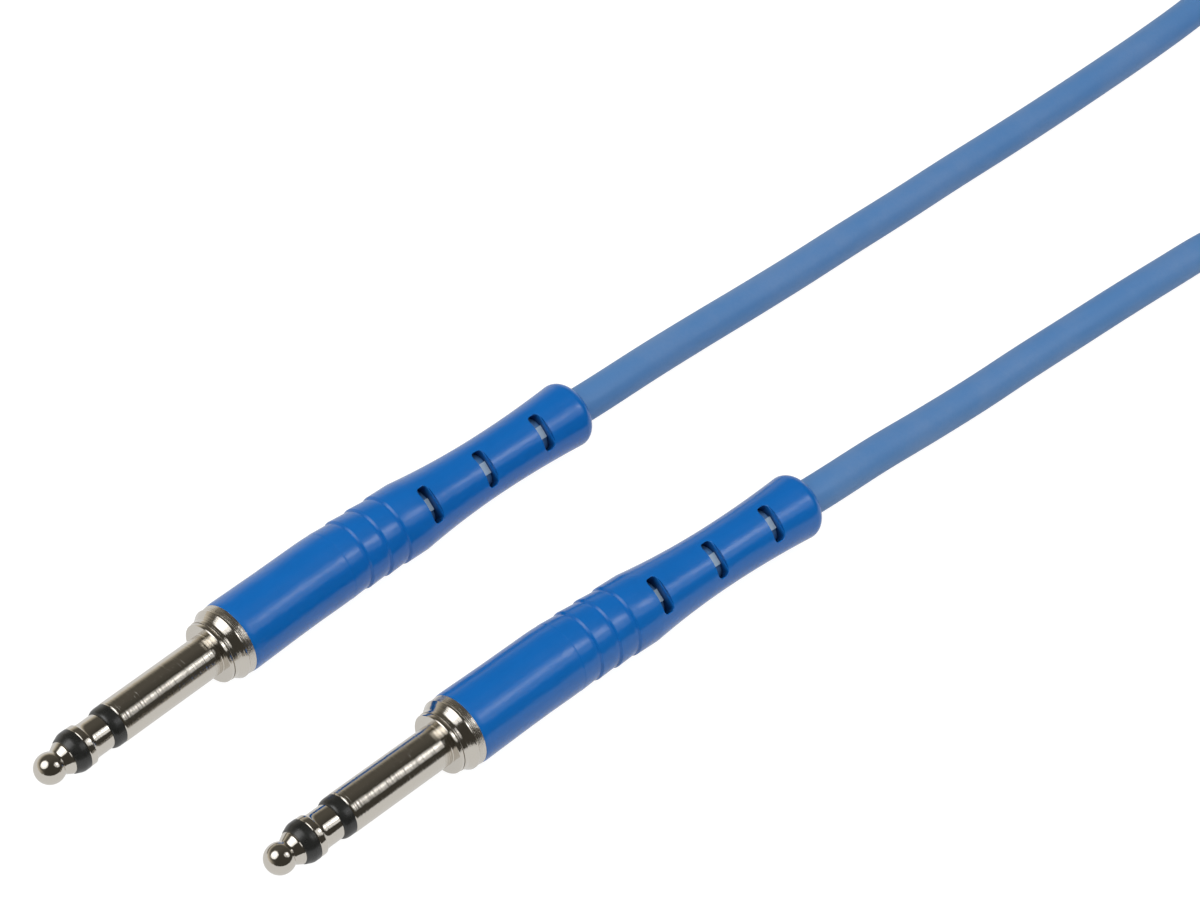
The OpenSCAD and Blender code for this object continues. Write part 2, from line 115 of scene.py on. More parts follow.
class PlugSizes(PropertyGroup):
    """Sizes of a plug's turned parts. A station is a distance behind the centre of its ball."""

    ball_r: length(1.575, "Ball radius", "Radius of the ball at the tip")
    neck_r: length(1.33, "Neck radius", "Radius of the waist behind the ball")
    neck: length(0.95, "Neck station", "Narrowest place of that waist")
    rim_r: length(1.73, "Rim radius", "Radius of the rim that closes the tip contact")
    rim: length(1.84, "Rim station", "Back of the rim")
    rod_r: length(0.55, "Rod radius", "Radius of the rod behind the rim")
    rod_back: length(28.2, "Rod back station", "Back of that rod")
    cone_front_r: length(1.85, "Cone front radius", "Front radius of the front insulator's cone")
    insulator_r: length(2.17, "Insulator radius", "Radius of both insulators")
    cone: length(2.6, "Cone station", "Back of the front insulator's cone")
    tip_bore_r: length(0.58, "Rod bore radius", "Bore of the front insulator")
    tip_tube_r: length(0.93, "Front tube radius", "Radius of the front insulator's tube")
    tip_tube_back: length(26.4, "Front tube back station", "Back of that tube")
    lip: length(3.3, "Lip station", "Front of the ring contact")
    lip_l: length(0.75, "Lip length", "Length of the lip of the ring contact")
    fall_l: length(0.75, "Fall length", "Length of the hollow fall behind the lip")
    lip_r: length(2.15, "Lip radius", "Radius of the lip of the ring contact")
    ring_r: length(1.88, "Ring radius", "Radius of the ring contact behind its lip")
    ring_back: length(6.35, "Ring back station", "Back of the ring contact")
    ring_bore_r: length(0.96, "Ring bore radius", "Bore of the ring contact")
    ring_tube_r: length(1.31, "Ring tube radius", "Radius of the ring contact's tube")
    ring_tube_back: length(25.6, "Ring tube back station", "Back of that tube")
    shoulder_l: length(0.75, "Shoulder length", "Length of the rear insulator's round shoulder")
    rear_bore_r: length(1.34, "Rear bore radius", "Bore of the rear insulator")
    rear_tube_r: length(1.69, "Rear tube radius", "Radius of the rear insulator's tube")
    rear_tube_back: length(25, "Rear tube back station", "Back of that tube")
    shaft: length(7.65, "Shaft station", "Front of the shaft")
    shaft_r: length(2.2, "Shaft radius", "Radius of the shaft")
    shaft_bore_r: length(1.72, "Shaft bore radius", "Bore of the shaft")
    collar: length(19.92, "Collar station", "Front of the thin flange")
    flange_r: length(3.28, "Flange radius", "Radius of the thin flange")
    band: length(20.42, "Band station", "Front of the plain band behind the thin flange")
    band_r: length(3.33, "Band radius", "Radius of that band")
    band_l: length(0.5, "Band length", "Length of that band")
    cone_r: length(3.86, "Main flange radius", "Radius of the coned main flange")
    step: length(21.85, "Step station", "Front of the step behind the main flange")
    step_r: length(3.84, "Step radius", "Radius of that step")
    stem: length(22.68, "Stem station", "Back of the step")
    stem_r: length(2.9, "Stem radius", "Radius of the stem inside the handle")
    stem_back: length(32.9, "Stem back station", "Back of the stem")
    cup: length(24.6, "Cup station", "Front of the solder cup in the stem")
    cup_r: length(2.45, "Cup radius", "Radius of the solder cup")


class HandleSizes(PropertyGroup):
    """Sizes of the soft moulded handle, with stations counted as on the plug."""

    front: length(22.68, "Front station", "Front edge of the handle")
    front_r: length(3.92, "Front radius", "Radius at the front edge")
    hollow: length(30.4, "Hollow station", "First hollow behind the front edge")
    hollow_r: length(3.84, "Hollow radius", "Radius at that hollow")
    ridges: count(3, "Ridges", "Number of stepped ridges")
    ridge: length(38.65, "Ridge station", "First stepped ridge")
    ridge_pitch: length(2.55, "Ridge pitch", "Distance from one ridge to the next")
    ridge_r: length(3.88, "Ridge radius", "Radius at the top of a ridge")
    ridge_low_r: length(3.69, "Cone radius", "Radius just in front of a ridge")
    waist_front: length(46.5, "Waist front station", "Where the waist begins")
    waist: length(58.2, "Waist station", "Narrowest place")
    waist_r: length(3.2, "Waist radius", "Radius at the narrowest place")
    tail_r: length(3.61, "Tail radius", "Radius of the rear end before it is rounded")
    tail: length(70.05, "Tail station", "Rear end")
    tail_round: length(1.35, "Tail rounding", "Radius of the rounded rear edge")
    bore_r: length(2.1, "Bore radius", "Radius of the bore round the cord")
    bore_widening: length(0.1, "Bore widening", "How much wider the bore is before the ridges")
    stem_bore_r: length(2.95, "Stem bore radius", "Radius of the bore round the stem")
    stem_bore: length(33, "Stem bore station", "Back of the bore round the stem")
    bend: angle(2.95, "Bend", "Sideways bend of the handle at its ridges")
    bend_at: length(35.6, "Bend station", "Middle of the length over which the handle bends")
    bend_length: length(7, "Bend length", "Length over which the handle bends")
    slots: count(3, "Slots", "Number of slots in each of the two faces")
    slot: length(47.85, "Slot station", "Middle of the first slot")
    slot_pitch: length(7.9, "Slot pitch", "Distance from one slot to the next")
    slot_w: length(1.25, "Slot width", "Width of a slot along the handle")
    slot_l: length(4, "Slot length", "Length of a slot across the handle")
    slot_corner: length(0.4, "Slot corner", "Radius of the corners of a slot")
    slot_floor: length(0.9, "Slot floor", "Height of a slot's floor over the axis")
    slot_shade: length(1, "Slot shade", "Depth in a slot at which its walls are darkest")
    slot_round: length(0.12, "Slot rounding", "Radius of the rounded rim of a slot")
    rib_w: length(1.35, "Rib width", "Width of the rib that parts a slot into two pockets")
    rib_top: length(2.2, "Rib top", "Height of that rib over the axis")
    roll_a: angle(34, "Roll A", "Turn of plug A about its axis")
    roll_b: angle(30, "Roll B", "Turn of plug B about its axis")


class CordSizes(PropertyGroup):
    """Size and lay of the cord between the plugs."""

    radius: length(2, "Radius", "Radius of the cord")
    laid_length: length(600, "Length", "Free length of the cord from plug to plug")
    dip: length(0.1, "Dip", "How far the cord sinks over its first diameter")
    end: length(31.1, "End station", "Front of the cord's end inside a handle")
    squeeze: length(0.05, "Squeeze", "How far the crimp ring squeezes that end")
    coil_at: spot((0.1628, -0.014, 0), "Coil", "Middle of the coil on the floor")
    coil_r: length(24.5, "Coil radius", "Radius of the coil's outermost turn")
    turn_gap: length(0.45, "Turn gap", "Gap between neighbouring turns")
    turns: number(2.5, "Turns", "Turns in the coil")


class Finishes(PropertyGroup):
    """Colours and roughness of the finishes."""

    metal: colour((0.66, 0.624, 0.565), "Metal", "Nickel plating of the contacts")
    insulator: colour((0.011, 0.0115, 0.011), "Insulator", "Black insulators")
    handle: colour((0.004, 0.152, 0.54), "Handle", "Soft plastic of the handle")
    jacket: colour((0.092, 0.248, 0.545), "Jacket", "Jacket of the cord")
    jacket_pale: colour((0.127, 0.272, 0.55), "Pale jacket", "Jacket where it is rubbed")
    copper: colour((0.75, 0.36, 0.19), "Copper", "Braid of the cord")
    lug: colour((0.72, 0.58, 0.34), "Lug", "Solder lugs and crimp ring")
    # Painted highlight: a pale colour on the tops of the ribs in the slots, where they would mirror
    # a softbox
    strained: colour((0.42, 0.55, 0.68), "Painted rib highlight", "Painted highlight on the rib tops in the slots")
    core_red: colour((0.55, 0.03, 0.02), "Red core", "Insulation of the tip's core")
    core_white: colour((0.75, 0.74, 0.70), "White core", "Insulation of the ring's core")
    handle_rough: amount(0.215, "Handle roughness", "Roughness of the handle")
    metal_rough: amount(0.1, "Metal roughness", "Roughness of the plating")


class StageSettings(PropertyGroup):
    """Floor, lights and camera."""

    camera_at: spot((-0.1476841, -0.1248154, 0.24927), "Camera", "Place of the camera")
    camera_to: spot(
        (0.0318779, 0.0075162, 0.0000367), "Camera target", "Point that the camera looks at"
    )
    camera_roll: angle(10.02, "Camera roll", "Turn of the camera about its line of sight")
    lens: number(95.03, "Lens", "Focal length on a 36 mm wide sensor")
    floor_colour: colour((0.82, 0.82, 0.81), "Floor", "Colour of the floor")
    wall_colour: colour((1.0, 0.92, 0.77), "Walls", "Colour of the room that the plugs mirror")
    softbox_light: number(0.92, "Softboxes", "Brightness of a softbox as a whole")
    softbox_core: number(1.6, "Softbox core", "What the middle of a softbox adds")
    fill_light: number(1.25, "Fill", "Brightness of the soft light overhead")


class Signal:
    """A node's output that takes part in Python sums, which add Math nodes."""

    def __init__(self, paint, socket):
        self.paint = paint
        self.socket = socket

    def sum(self, operation, first, second):
        return self.paint.node("ShaderNodeMath", {"operation": operation}, {0: first, 1: second})

    def __add__(self, other):
        return self.sum("ADD", self, other)

    __radd__ = __add__

    def __sub__(self, other):
        return self.sum("SUBTRACT", self, other)

    def __rsub__(self, other):
        return self.sum("SUBTRACT", other, self)

    def __mul__(self, other):
        return self.sum("MULTIPLY", self, other)

    __rmul__ = __mul__


class Paint:
    """The nodes of one material, or of the world."""

    def __init__(self, owner):
        owner.use_nodes = True
        self.owner = owner
        self.tree = owner.node_tree
        self.tree.nodes.clear()

    def node(self, kind, settings=None, sockets=None, output=0):
        """Adds a node, sets it up, and gives one of its outputs."""
        made = self.tree.nodes.new(kind)
        for name, value in (settings or {}).items():
            setattr(made, name, value)
        for name, value in (sockets or {}).items():
            if isinstance(value, Signal):
                self.tree.links.new(value.socket, made.inputs[name])
            else:
                made.inputs[name].default_value = value
        return Signal(self, made.outputs[output]) if made.outputs else None

    def at(self):
        return self.node("ShaderNodeTexCoord", output="Object")

    def attribute(self, name):
        return self.node("ShaderNodeAttribute", {"attribute_name": name}, output="Fac")

    def ray(self, kind):
        """1 for a ray of that kind, such as Camera, and 0 for any other."""
        return self.node("ShaderNodeLightPath", output=f"Is {kind} Ray")

    def noise(self, vector, scale, detail=2.0, roughness=0.5, stretch=(1, 1, 1)):
        placed = self.node("ShaderNodeMapping", {}, {"Vector": vector, "Scale": stretch})
        return self.node(
            "ShaderNodeTexNoise",
            {},
            {"Vector": placed, "Scale": scale, "Detail": detail, "Roughness": roughness},
        )

    def lines(self, along, scale):
        """Noise that changes only with one value, such as tool marks along a shaft."""
        return self.node(
            "ShaderNodeTexNoise",
            {"noise_dimensions": "1D"},
            {"W": along, "Scale": scale, "Detail": 2.0},
        )

    def band(self, value, low, high):
        """0 below low, 1 above high, smooth between."""
        return self.node(
            "ShaderNodeMapRange",
            {"interpolation_type": "SMOOTHSTEP"},
            {"Value": value, "From Min": low, "From Max": high, "To Min": 0.0, "To Max": 1.0},
        )

    def mix(self, factor, first, second):
        """Mixes two colours, each a colour or a signal."""
        first, second = (
            tone if isinstance(tone, Signal) else (*tone, 1) for tone in (first, second)
        )
        return self.node(
            "ShaderNodeMix", {"data_type": "RGBA"}, {0: factor, 6: first, 7: second}, output=2
        )

    def bump(self, height, distance):
        return self.node(
            "ShaderNodeBump", {}, {"Height": height, "Distance": distance, "Strength": 1.0}
        )

    def surface(self, **sockets):
        """Ends the material in a Principled shader with these sockets, underscores for spaces."""
        named = {name.replace("_", " "): value for name, value in sockets.items()}
        shader = self.node("ShaderNodeBsdfPrincipled", {}, named)
        self.node("ShaderNodeOutputMaterial", {}, {"Surface": shader})
        return self.owner


def material_paint(name):
    return Paint(bpy.data.materials.new(name))


def shade(tone, share):
    """A colour that is lighter or darker by that share."""
    return [share * part for part in tone]


def plating(finishes, plug):
    """Nickel plating: fine rings from the lathe, deeper on the shaft, and a rougher step."""
    paint = material_paint("nickel_plating")
    station = paint.attribute("station")
    at = paint.at()
    fine = paint.lines(station, 12000)
    coarse = paint.lines(station, 5000)
    broken = paint.noise(at, 800, 3, 0.6, (6, 1, 1))
    grain = paint.noise(at, 1900, 3, 0.6)
    shaft = paint.band(station, plug.shaft + 0.05 * MM, plug.shaft + 0.25 * MM)
    step = paint.band(station, plug.step - 0.01 * MM, plug.step + 0.03 * MM)
    rough = finishes.metal_rough + 0.05 * (broken - 0.5) + 0.06 * (fine - 0.5)
    lathed = (0.3 * fine + 0.8 * coarse + 0.5 * broken) * (0.3 + 0.7 * shaft)
    return paint.surface(
        Base_Color=(*finishes.metal, 1),
        Metallic=1.0,
        Roughness=rough + 0.03 * shaft + 0.14 * step,
        Normal=paint.bump(lathed + 1.6 * grain * step, 0.032 * MM),
    )


def insulation(finishes):
    """Satin black plastic, uneven in shine."""
    paint = material_paint("black_insulator")
    at = paint.at()
    grain = paint.noise(at, 5200, 3, 0.6)
    cloud = paint.noise(at, 1400)
    return paint.surface(
        Base_Color=paint.mix(cloud, finishes.insulator, shade(finishes.insulator, 2.1)),
        Roughness=0.29 + 0.16 * (cloud - 0.5),
        Specular_IOR_Level=0.66,
        Normal=paint.bump(grain + cloud, 0.006 * MM),
    )


def soft_plastic(finishes):
    """Moulded soft plastic of the handle, satin outside; painted shade darkens it deep in its
    slots, where it is also matte, and the rib tops there carry a painted highlight.
    """
    paint = material_paint("handle_plastic")
    at = paint.at()
    skin = paint.noise(at, 3000)
    wave = paint.noise(at, 650)
    cloud = paint.noise(at, 260, 3, 0.6)
    flow = paint.noise(at, 110)
    inside = paint.attribute("inside")
    outer = paint.mix(cloud, shade(finishes.handle, 0.95), shade(finishes.handle, 1.05))
    # Painted shade: the colour darkens with depth in a slot
    whole = paint.mix(inside, outer, shade(finishes.handle, 0.22))
    rough = finishes.handle_rough + 0.1 * (cloud - 0.5) + 0.05 * (skin - 0.5)
    return paint.surface(
        # Painted highlight on the tops of the ribs in the slots
        Base_Color=paint.mix(paint.attribute("strained"), whole, finishes.strained),
        Roughness=rough + 0.5 * inside,
        Normal=paint.bump(0.05 * skin + 0.8 * wave + 2.2 * flow, 0.05 * MM),
    )


def cord_jacket(finishes):
    """Matte jacket, a little paler where it has been rubbed."""
    paint = material_paint("cord_jacket")
    at = paint.at()
    grain = paint.noise(at, 2600, 3, 0.6)
    cloud = paint.noise(at, 140, 3, 0.55)
    worn = paint.band(cloud + 0.25 * (grain - 0.5), 0.35, 0.75)
    return paint.surface(
        Base_Color=paint.mix(worn, finishes.jacket, finishes.jacket_pale),
        Roughness=0.48 + 0.12 * (grain - 0.5),
        Normal=paint.bump(grain + cloud, 0.01 * MM),
    )


def braid_copper(finishes):
    """Bare copper in strands that run round the cord."""
    paint = material_paint("braid_copper")
    strands = paint.noise(paint.at(), 4200, 1, 0.5, (1, 0.25, 0.25))
    return paint.surface(
        Base_Color=paint.mix(strands, shade(finishes.copper, 0.5), finishes.copper),
        Metallic=1.0,
        Roughness=0.3 + 0.2 * strands,
        Normal=paint.bump(strands, 0.05 * MM),
    )


def lug_metal(finishes):
    """Tinned brass, cloudy from the solder."""
    paint = material_paint("lug_metal")
    cloud = paint.noise(paint.at(), 1800, 3)
    return paint.surface(
        Base_Color=paint.mix(cloud, shade(finishes.lug, 0.8), finishes.lug),
        Metallic=1.0,
        Roughness=0.22 + 0.2 * cloud,
        Normal=paint.bump(cloud, 0.01 * MM),
    )


def core_insulation(name, tone):
    """Plain plastic round a core."""
    paint = material_paint(name)
    cloud = paint.noise(paint.at(), 1500)
    return paint.surface(
        Base_Color=paint.mix(cloud, shade(tone, 0.85), tone),
        Roughness=0.4 + 0.1 * cloud,
        Normal=paint.bump(cloud, 0.01 * MM),
    )


def plug_place(plug):
    """Puts a plug's own axis, X from its ball to the cord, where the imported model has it."""
    mount = next(m for m in frame["record"]["mounts"] if m["name"] == f"plug_{plug}_shaft")
    back = -Vector(mount["axis"]).normalized()
    ball = Vector(mount["pos_m"]) - back * MOUNT_STATION
    return Matrix.Translation(ball) @ Matrix.Rotation(math.atan2(back.y, back.x), 4, "Z")


def bent(point, handle):
    """Where a point of the straight plug goes when the handle bends over a short arc."""
    start = handle.bend_at - handle.bend_length / 2
    radius = handle.bend_length / handle.bend
    turned = min(max((point.x - start) / radius, 0), handle.bend)
    past = max(point.x - start - handle.bend_length, 0)
    if point.x <= start:
        return point
    across = point.y - radius * (1 - math.cos(turned)) - past * math.sin(turned)
    middle = start + radius * math.sin(turned) + past * math.cos(turned)
    return Vector(
        (middle + point.y * math.sin(turned), across - point.y * (1 - math.cos(turned)), point.z)
    )


def arc(station, radius, along, rise):
    """The inner points of a quarter ellipse, which starts across the axis and ends along it."""
    turns = [math.radians(10) * i for i in range(1, 10)]
    return [
        (station + along * (1 - math.cos(turned)), radius + rise * math.sin(turned), 0)
        for turned in turns
    ]


def turn(outline, closed):
    """Spins an outline of (station, radius, rounding) about the X axis into a skin.

    A closed outline goes back to its first point, and any other starts and ends on the axis.
    """
    bm = bmesh.new()
    corners = [bm.verts.new((station, 0, radius)) for station, radius, _ in outline]
    for first, second in zip(corners, corners[1:]):
        bm.edges.new((first, second))
    if closed:
        bm.edges.new((corners[-1], corners[0]))
    for rounding in sorted({point[2] for point in outline if point[2]}):
        bmesh.ops.bevel(
            bm,
            geom=[corner for corner, point in zip(corners, outline) if point[2] == rounding],
            offset=rounding,
            offset_type="OFFSET",
            segments=4,
            profile=0.5,
            affect="VERTICES",
            material=-1,
        )
    bmesh.ops.spin(
        bm,
        geom=bm.verts[:] + bm.edges[:],
        cent=(0, 0, 0),
        axis=(1, 0, 0),
        dvec=(0, 0, 0),
        angle=math.tau,
        steps=TURNED_SIDES,
        use_merge=True,
    )
    bmesh.ops.remove_doubles(bm, verts=bm.verts, dist=SAME_POINT)
    bmesh.ops.recalc_face_normals(bm, faces=bm.faces)
    station = bm.verts.layers.float.new("station")
    for vertex in bm.verts:
        vertex[station] = vertex.co.x
    return bm


def piece_of(bm, name, place, material, node):
    """Makes a finished piece that stands for a CAD node and moves with the body."""
    mesh = bpy.data.meshes.new(name)
    bm.to_mesh(mesh)
    bm.free()
    mesh.transform(place)
    mesh.shade_smooth()
    mesh.set_sharp_from_angle(angle=SHARP_ANGLE)
    mesh.materials.append(material)
    piece = bpy.data.objects.new(name, mesh)
    bpy.context.scene.collection.objects.link(piece)
    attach(piece, BODY)
    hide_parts(node)


def turn_parts(finish, slot, *parts):
    """Turns parts of both plugs, each given as (piece, node, outline, whether it is closed)."""
    for plug in PLUGS:
        for piece, node, outline, closed in parts:
            piece_of(
                turn(outline, closed),
                f"{plug}_{piece}",
                plug_place(plug),
                finish,
                f"{plug}_{node}",
            )


def finish_named(name, maker, *values):
    """The material of that name, made the first time it is asked for."""
    return bpy.data.materials.get(name) or maker(*values)


def plating_of(context):
    finishes, plug = context.scene.cable_finishes, context.scene.cable_plug
    return finish_named("nickel_plating", plating, finishes, plug)


class PATCHCABLE_OT_camera(Operator):
    """Places the camera"""

    bl_idname = "patchcable.camera"
    bl_label = "Camera"

    def execute(self, context):
        stage = context.scene.cable_stage
        data = bpy.data.cameras.new("camera")
        data.sensor_width = 36
        data.sensor_fit = "HORIZONTAL"
        data.lens = stage.lens
        data.clip_start = 0.01
        camera = bpy.data.objects.new("camera", data)
        context.scene.collection.objects.link(camera)
        at = Vector(stage.camera_at)
        aim = (Vector(stage.camera_to) - at).to_track_quat("-Z", "Y").to_matrix().to_4x4()
        roll = Matrix.Rotation(stage.camera_roll, 4, "Z")
        camera.matrix_world = Matrix.Translation(at) @ aim @ roll
        context.scene.camera = camera
        return {"FINISHED"}


# The leads from the two plugs to the coil. Each point has its place on the floor and its
# height over the floor under the cord, in millimetres
LEAD_A = [
    (43, 11.3, 1.4), (51, 11.3, 0.7), (59, 11.1, 0.2), (67, 10.8, 0), (75, 10.5, 0),
    (84, 10.1, 0), (93, 9.8, 0), (102, 9.4, 0), (111, 9.1, 0), (120, 8.9, 0),
    (130, 8.8, 0), (140, 9, 0), (150, 9.9, 0),
]
LEAD_B = [
    (52, -13.5, 1.2), (60, -13.9, 0.4), (68, -14.4, 0), (76, -14.9, 0), (84, -15.5, 0),
    (92, -16.1, 0), (100, -16.8, 0), (107, -17.5, 0), (114, -18.9, 0), (121, -21.4, 0),
    (128, -25, 0), (135, -29.2, 0.2), (142, -33.2, 0.9), (149, -36.5, 2.4), (155, -38.2, 3.9),
]


def cord_exit(plug, handle):
    """Where the cord leaves a plug, and which way."""
    place = plug_place(plug)
    end = place @ bent(Vector((handle.tail, 0, 0)), handle)
    before = place @ bent(Vector((handle.tail - MM, 0, 0)), handle)
    return end, (end - before).normalized()


def cord_route(cord, handle):
    """The points that the cord follows from plug A through the coil to plug B."""
    dip = Vector((0, 0, cord.dip))
    lift = Vector((0, 0, cord.radius))

    def lead(plug, points):
        end, way = cord_exit(plug, handle)
        return [end, end + 2 * cord.radius * way - dip] + [Vector(p) * MM + lift for p in points]

    pitch = 2 * cord.radius + cord.turn_gap
    half = cord.turns / 2

    def turn_point(u):
        climb = min(max((u - half) * 2 + 0.5, 0), 1)
        radius = cord.coil_r - pitch * (half - abs(u - half))
        around = math.tau * u
        rise = pitch * climb * climb * (3 - 2 * climb)
        spoke = Vector((math.sin(around), math.cos(around), 0))
        return Vector(cord.coil_at) + lift + radius * spoke + Vector((0, 0, rise))

    turns = [turn_point(i / TURN_POINTS) for i in range(round(cord.turns * TURN_POINTS) + 1)]
    straight = Vector((-2 * cord.radius, 0, 0))
    return (
        lead("a", LEAD_A)
        + [turns[0] + straight]
        + turns
        + [turns[-1] + straight]
        + list(reversed(lead("b", LEAD_B)))
    )


def smooth_route(points, spacing):
    """A smooth line through the points, straight at its two ends."""
    line = []
    padded = [2 * points[0] - points[1], *points, 2 * points[-1] - points[-2]]
    for before, start, end, after in zip(padded, padded[1:], padded[2:], padded[3:]):
        span = (end - start).length
        steps = max(2, round(span / spacing))
        into = (end - before) * span / ((start - before).length + span)
        out = (after - start) * span / ((after - end).length + span)
        for i in range(steps):
            t = i / steps
            line.append(
                start * (2 * t**3 - 3 * t**2 + 1)
                + into * (t**3 - 2 * t**2 + t)
                + end * (3 * t**2 - 2 * t**3)
                + out * (t**3 - t**2)
            )
    return line + [points[-1]]


class PATCHCABLE_OT_cord(Operator):
    """Builds the cord from plug to plug, with its coil"""

    bl_idname = "patchcable.cord"
    bl_label = "Cord"

    def execute(self, context):
        cord, handle = context.scene.cable_cord, context.scene.cable_handle
        line = smooth_route(cord_route(cord, handle), CORD_SPACING)
        curve = bpy.data.curves.new("cord", "CURVE")
        curve.dimensions = "3D"
        curve.bevel_depth = cord.radius
        curve.bevel_resolution = 14
        curve.use_fill_caps = True
        spline = curve.splines.new("POLY")
        spline.points.add(len(line) - 1)
        spline.points.foreach_set("co", [part for point in line for part in (*point, 1)])
        spline.use_smooth = True
        curve.materials.append(
            finish_named("cord_jacket", cord_jacket, context.scene.cable_finishes)
        )
        piece = bpy.data.objects.new("cord", curve)
        context.scene.collection.objects.link(piece)
        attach(piece, BODY)
        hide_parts("lead_a", "coil", "lead_b")
        return {"FINISHED"}


class PATCHCABLE_OT_tips(Operator):
    """Turns the tip contacts, each a ball on a flared neck, with its rod"""

    bl_idname = "patchcable.tips"
    bl_label = "Tip contacts"

    def execute(self, context):
        plug = context.scene.cable_plug
        joint = math.acos(plug.neck_r / plug.ball_r)
        ball = [
            (-plug.ball_r * math.cos(turned), plug.ball_r * math.sin(turned), 0)
            for turned in (math.radians(3) * i for i in range(60))
            if turned < math.pi / 2 + joint
        ]
        rim_front = plug.rim - 0.23 * MM
        outline = [
            *ball,
            (plug.ball_r * math.sin(joint), plug.neck_r, 0),
            (plug.neck, plug.neck_r, 0.06 * MM),
            (rim_front, plug.rim_r - 0.03 * MM, 0.05 * MM),
            (rim_front + 0.06 * MM, plug.rim_r, 0.02 * MM),
            (plug.rim, plug.rim_r, 0),
            (plug.rim, plug.rod_r, 0),
            (plug.rod_back, plug.rod_r, 0),
            (plug.rod_back, 0, 0),
        ]
        turn_parts(plating_of(context), "contact_metal", ("tip", "tip_contact", outline, False))
        return {"FINISHED"}


class PATCHCABLE_OT_insulators(Operator):
    """Turns the two black insulators of each plug, with their tubes"""

    bl_idname = "patchcable.insulators"
    bl_label = "Insulators"

    def execute(self, context):
        plug = context.scene.cable_plug
        front = [
            (plug.rim, plug.tip_bore_r, 0),
            (plug.rim, plug.cone_front_r, 0.05 * MM),
            (plug.cone, plug.insulator_r, 0.2 * MM),
            (plug.lip, plug.insulator_r, 0),
            (plug.lip, plug.tip_tube_r, 0),
            (plug.tip_tube_back, plug.tip_tube_r, 0),
            (plug.tip_tube_back, plug.tip_bore_r, 0),
        ]
        rear = [
            (plug.ring_back, plug.rear_bore_r, 0),
            (plug.ring_back, plug.ring_r, 0),
            *arc(plug.ring_back, plug.ring_r, plug.shoulder_l, plug.insulator_r - plug.ring_r),
            (plug.shaft, plug.insulator_r, 0),
            (plug.shaft, plug.rear_tube_r, 0),
            (plug.rear_tube_back, plug.rear_tube_r, 0),
            (plug.rear_tube_back, plug.rear_bore_r, 0),
        ]
        turn_parts(
            finish_named("black_insulator", insulation, context.scene.cable_finishes),
            "insulator",
            ("tip_insulator_skin", "tip_insulator", front, True),
            ("ring_insulator_skin", "ring_insulator", rear, True),
        )
        return {"FINISHED"}


class PATCHCABLE_OT_rings(Operator):
    """Turns the ring contacts, each a lip and a band, with its tube"""

    bl_idname = "patchcable.rings"
    bl_label = "Ring contacts"

    def execute(self, context):
        plug = context.scene.cable_plug
        lip_back = plug.lip + plug.lip_l
        bevel_l, bevel_r = 0.13 * MM, 0.1 * MM
        outline = [
            (plug.lip, plug.ring_bore_r, 0),
            (plug.lip, plug.lip_r - bevel_r, 0),
            (plug.lip + bevel_l, plug.lip_r, 0.03 * MM),
            (lip_back, plug.lip_r, 0.04 * MM),
            *arc(lip_back, plug.lip_r, plug.fall_l, plug.ring_r - plug.lip_r),
            (plug.ring_back, plug.ring_r, 0.04 * MM),
            (plug.ring_back, plug.ring_tube_r, 0),
            (plug.ring_tube_back, plug.ring_tube_r, 0),
            (plug.ring_tube_back, plug.ring_bore_r, 0),
        ]
        turn_parts(plating_of(context), "contact_metal", ("ring", "ring_contact", outline, True))
        return {"FINISHED"}


class PATCHCABLE_OT_sleeves(Operator):
    """Turns the sleeves, each a shaft, a stepped collar and a stem"""

    bl_idname = "patchcable.sleeves"
    bl_label = "Sleeves"

    def execute(self, context):
        plug = context.scene.cable_plug
        bevel_l, bevel_r = 0.16 * MM, 0.13 * MM
        fillet = 0.05 * MM
        groove, groove_r = plug.band - 0.06 * MM, plug.flange_r - 0.12 * MM
        step_low_r = plug.step_r - 0.1 * MM
        outline = [
            (plug.shaft, plug.shaft_bore_r, 0),
            (plug.shaft, plug.shaft_r - bevel_r, 0),
            (plug.shaft + bevel_l, plug.shaft_r, 0.04 * MM),
            (plug.collar - fillet, plug.shaft_r, 0),
            (plug.collar, plug.shaft_r + fillet, 0),
            (plug.collar, plug.flange_r - 0.06 * MM, 0),
            (plug.collar + 0.09 * MM, plug.flange_r, 0.02 * MM),
            (groove, plug.flange_r, 0.03 * MM),
            (groove, groove_r, 0),
            (plug.band, groove_r, 0),
            (plug.band, plug.band_r, 0.04 * MM),
            (plug.band + plug.band_l, plug.band_r + 0.02 * MM, 0.06 * MM),
            (plug.step - 0.2 * MM, plug.cone_r, 0.05 * MM),
            (plug.step - 0.01 * MM, plug.cone_r, 0.02 * MM),
            (plug.step, step_low_r, 0),
            (plug.step + 0.05 * MM, step_low_r, 0),
            (plug.step + 0.08 * MM, plug.step_r - 0.05 * MM, 0.02 * MM),
            (plug.stem, plug.step_r + 0.02 * MM, 0.02 * MM),
            (plug.stem, plug.stem_r, 0),
            (plug.stem_back, plug.stem_r, 0),
            (plug.stem_back, plug.cup_r, 0),
            (plug.cup, plug.cup_r, 0),
            (plug.cup, plug.shaft_bore_r, 0),
        ]
        turn_parts(plating_of(context), "contact_metal", ("sleeve_turned", "sleeve", outline, True))
        return {"FINISHED"}


def waist_radius(handle, x):
    """Radius of the handle's waist: two parabolas that meet at its narrowest place."""
    if x < handle.waist:
        share = (handle.waist - x) / (handle.waist - handle.waist_front)
        return handle.waist_r + (handle.ridge_r - handle.waist_r) * share**2
    share = (x - handle.waist) / (handle.tail - handle.tail_round - handle.waist)
    return handle.waist_r + (handle.tail_r - handle.waist_r) * share**2


